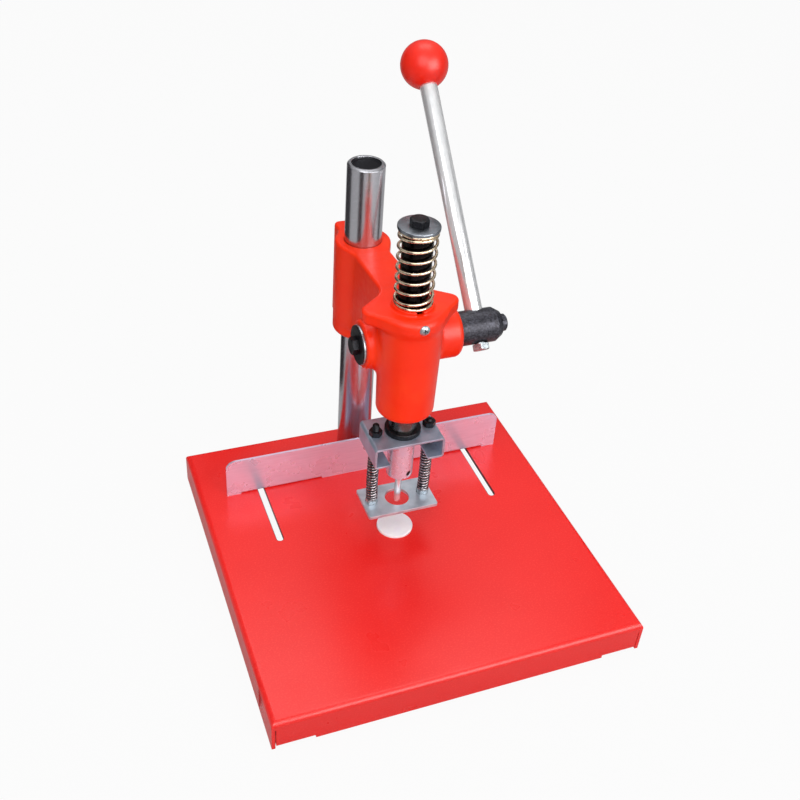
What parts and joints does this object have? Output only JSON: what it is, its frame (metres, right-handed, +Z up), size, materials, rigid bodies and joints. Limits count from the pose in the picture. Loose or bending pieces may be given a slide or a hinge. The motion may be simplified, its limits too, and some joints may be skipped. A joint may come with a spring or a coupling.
{
  "type": "manual hole punching press",
  "caption": "Bench press for punching paper, film or leather: a side lever drives a toothed ram down onto a pad, with a sprung stripper and a sliding fence.",
  "frame": {"origin": "on the floor, on the axis of the punch, under the middle of the anvil block", "axes": "+X to the operator's right, +Y to the back, +Z up along the punch axis"},
  "size_m": [0.32, 0.3676, 0.4058],
  "materials": {
    "red_powder_coat": "smooth powder coat, half gloss",
    "red_casting": "red enamel over a slightly rough iron casting",
    "column_chrome": "hard chrome on a ground tube",
    "bright_steel": "nickel plate",
    "ground_steel": "ground or turned bare steel",
    "bare_steel": "sawn bare steel, oiled",
    "fence_steel": "rolled stainless sheet, half gloss",
    "galvanised_tube": "cold galvanised, dull blue grey",
    "zinc_plate": "clear zinc plate",
    "spring_zinc": "yellow zinc plate on drawn wire",
    "black_oxide": "black oxide, oiled",
    "black_spring": "black spring wire with worn bright crowns",
    "black_plastic": "moulded plug",
    "red_plastic": "moulded thermoset ball",
    "white_nylon": "turned nylon disc"
  },
  "bodies": {
    "base": {"base": "red_powder_coat", "anvil_block": "bare_steel", "cutting_pad": "white_nylon", "column": "column_chrome", "column_cap": "black_plastic", "column_plug": "bare_steel", "column_foot": "bare_steel", "column_washer": "zinc_plate", "column_bolt": "zinc_plate"},
    "fence": {"fence": "fence_steel", "fence_bolts": "zinc_plate", "fence_washers": "zinc_plate", "fence_wing_nuts": "zinc_plate"},
    "head": {"head_casting": "red_casting", "clamp_bolts": "black_oxide", "clamp_washers": "zinc_plate", "guide_screw": "bright_steel", "return_spring": "spring_zinc"},
    "lever": {"pinion_shaft": "ground_steel", "pinion_washer": "black_oxide", "pinion_bolt": "black_oxide", "lever_hub": "black_oxide", "lever_lock_bolt": "zinc_plate", "lever_rod": "column_chrome", "ball_knob": "red_plastic"},
    "ram": {"ram": "ground_steel", "ram_collar": "black_oxide", "spring_washer": "zinc_plate", "ram_bolt": "black_oxide", "bracket": "galvanised_tube", "chuck": "ground_steel", "chuck_screw": "black_oxide", "punch_pin": "bright_steel", "stripper_spring_left": "black_spring", "stripper_spring_right": "black_spring"},
    "stripper": {"stripper_plate": "galvanised_tube", "guide_rods": "black_oxide", "guide_nuts": "black_oxide", "plate_nuts": "zinc_plate"}
  },
  "joints": [
    {"name": "head_height", "type": "slide", "parent": "base", "child": "head", "axis": [0, 0, 1], "range_m": [0, 0.06]},
    {"name": "lever_turn", "type": "hinge", "parent": "head", "child": "lever", "pos_m": [0, 0.022, 0.22], "axis": [1, 0, 0], "range_deg": [0, 132.2]},
    {"name": "ram_slide", "type": "slide", "parent": "head", "child": "ram", "axis": [0, 0, -1], "range_m": [0, 0.03], "stiffness_N_per_m": 3700, "springref_m": -0.01, "deforming": ["return_spring"]},
    {"name": "stripper_slide", "type": "slide", "parent": "ram", "child": "stripper", "axis": [0, 0, 1], "range_m": [0, 0.01], "stiffness_N_per_m": 16000, "springref_m": -0.003, "deforming": ["stripper_spring_left", "stripper_spring_right"]},
    {"name": "fence_slide", "type": "slide", "parent": "base", "child": "fence", "axis": [0, 1, 0], "range_m": [-0.058, 0.0195]}
  ],
  "couplings": [
    {"joint": "ram_slide", "follows": "lever_turn", "m_per_rad": 0.013}
  ]
}
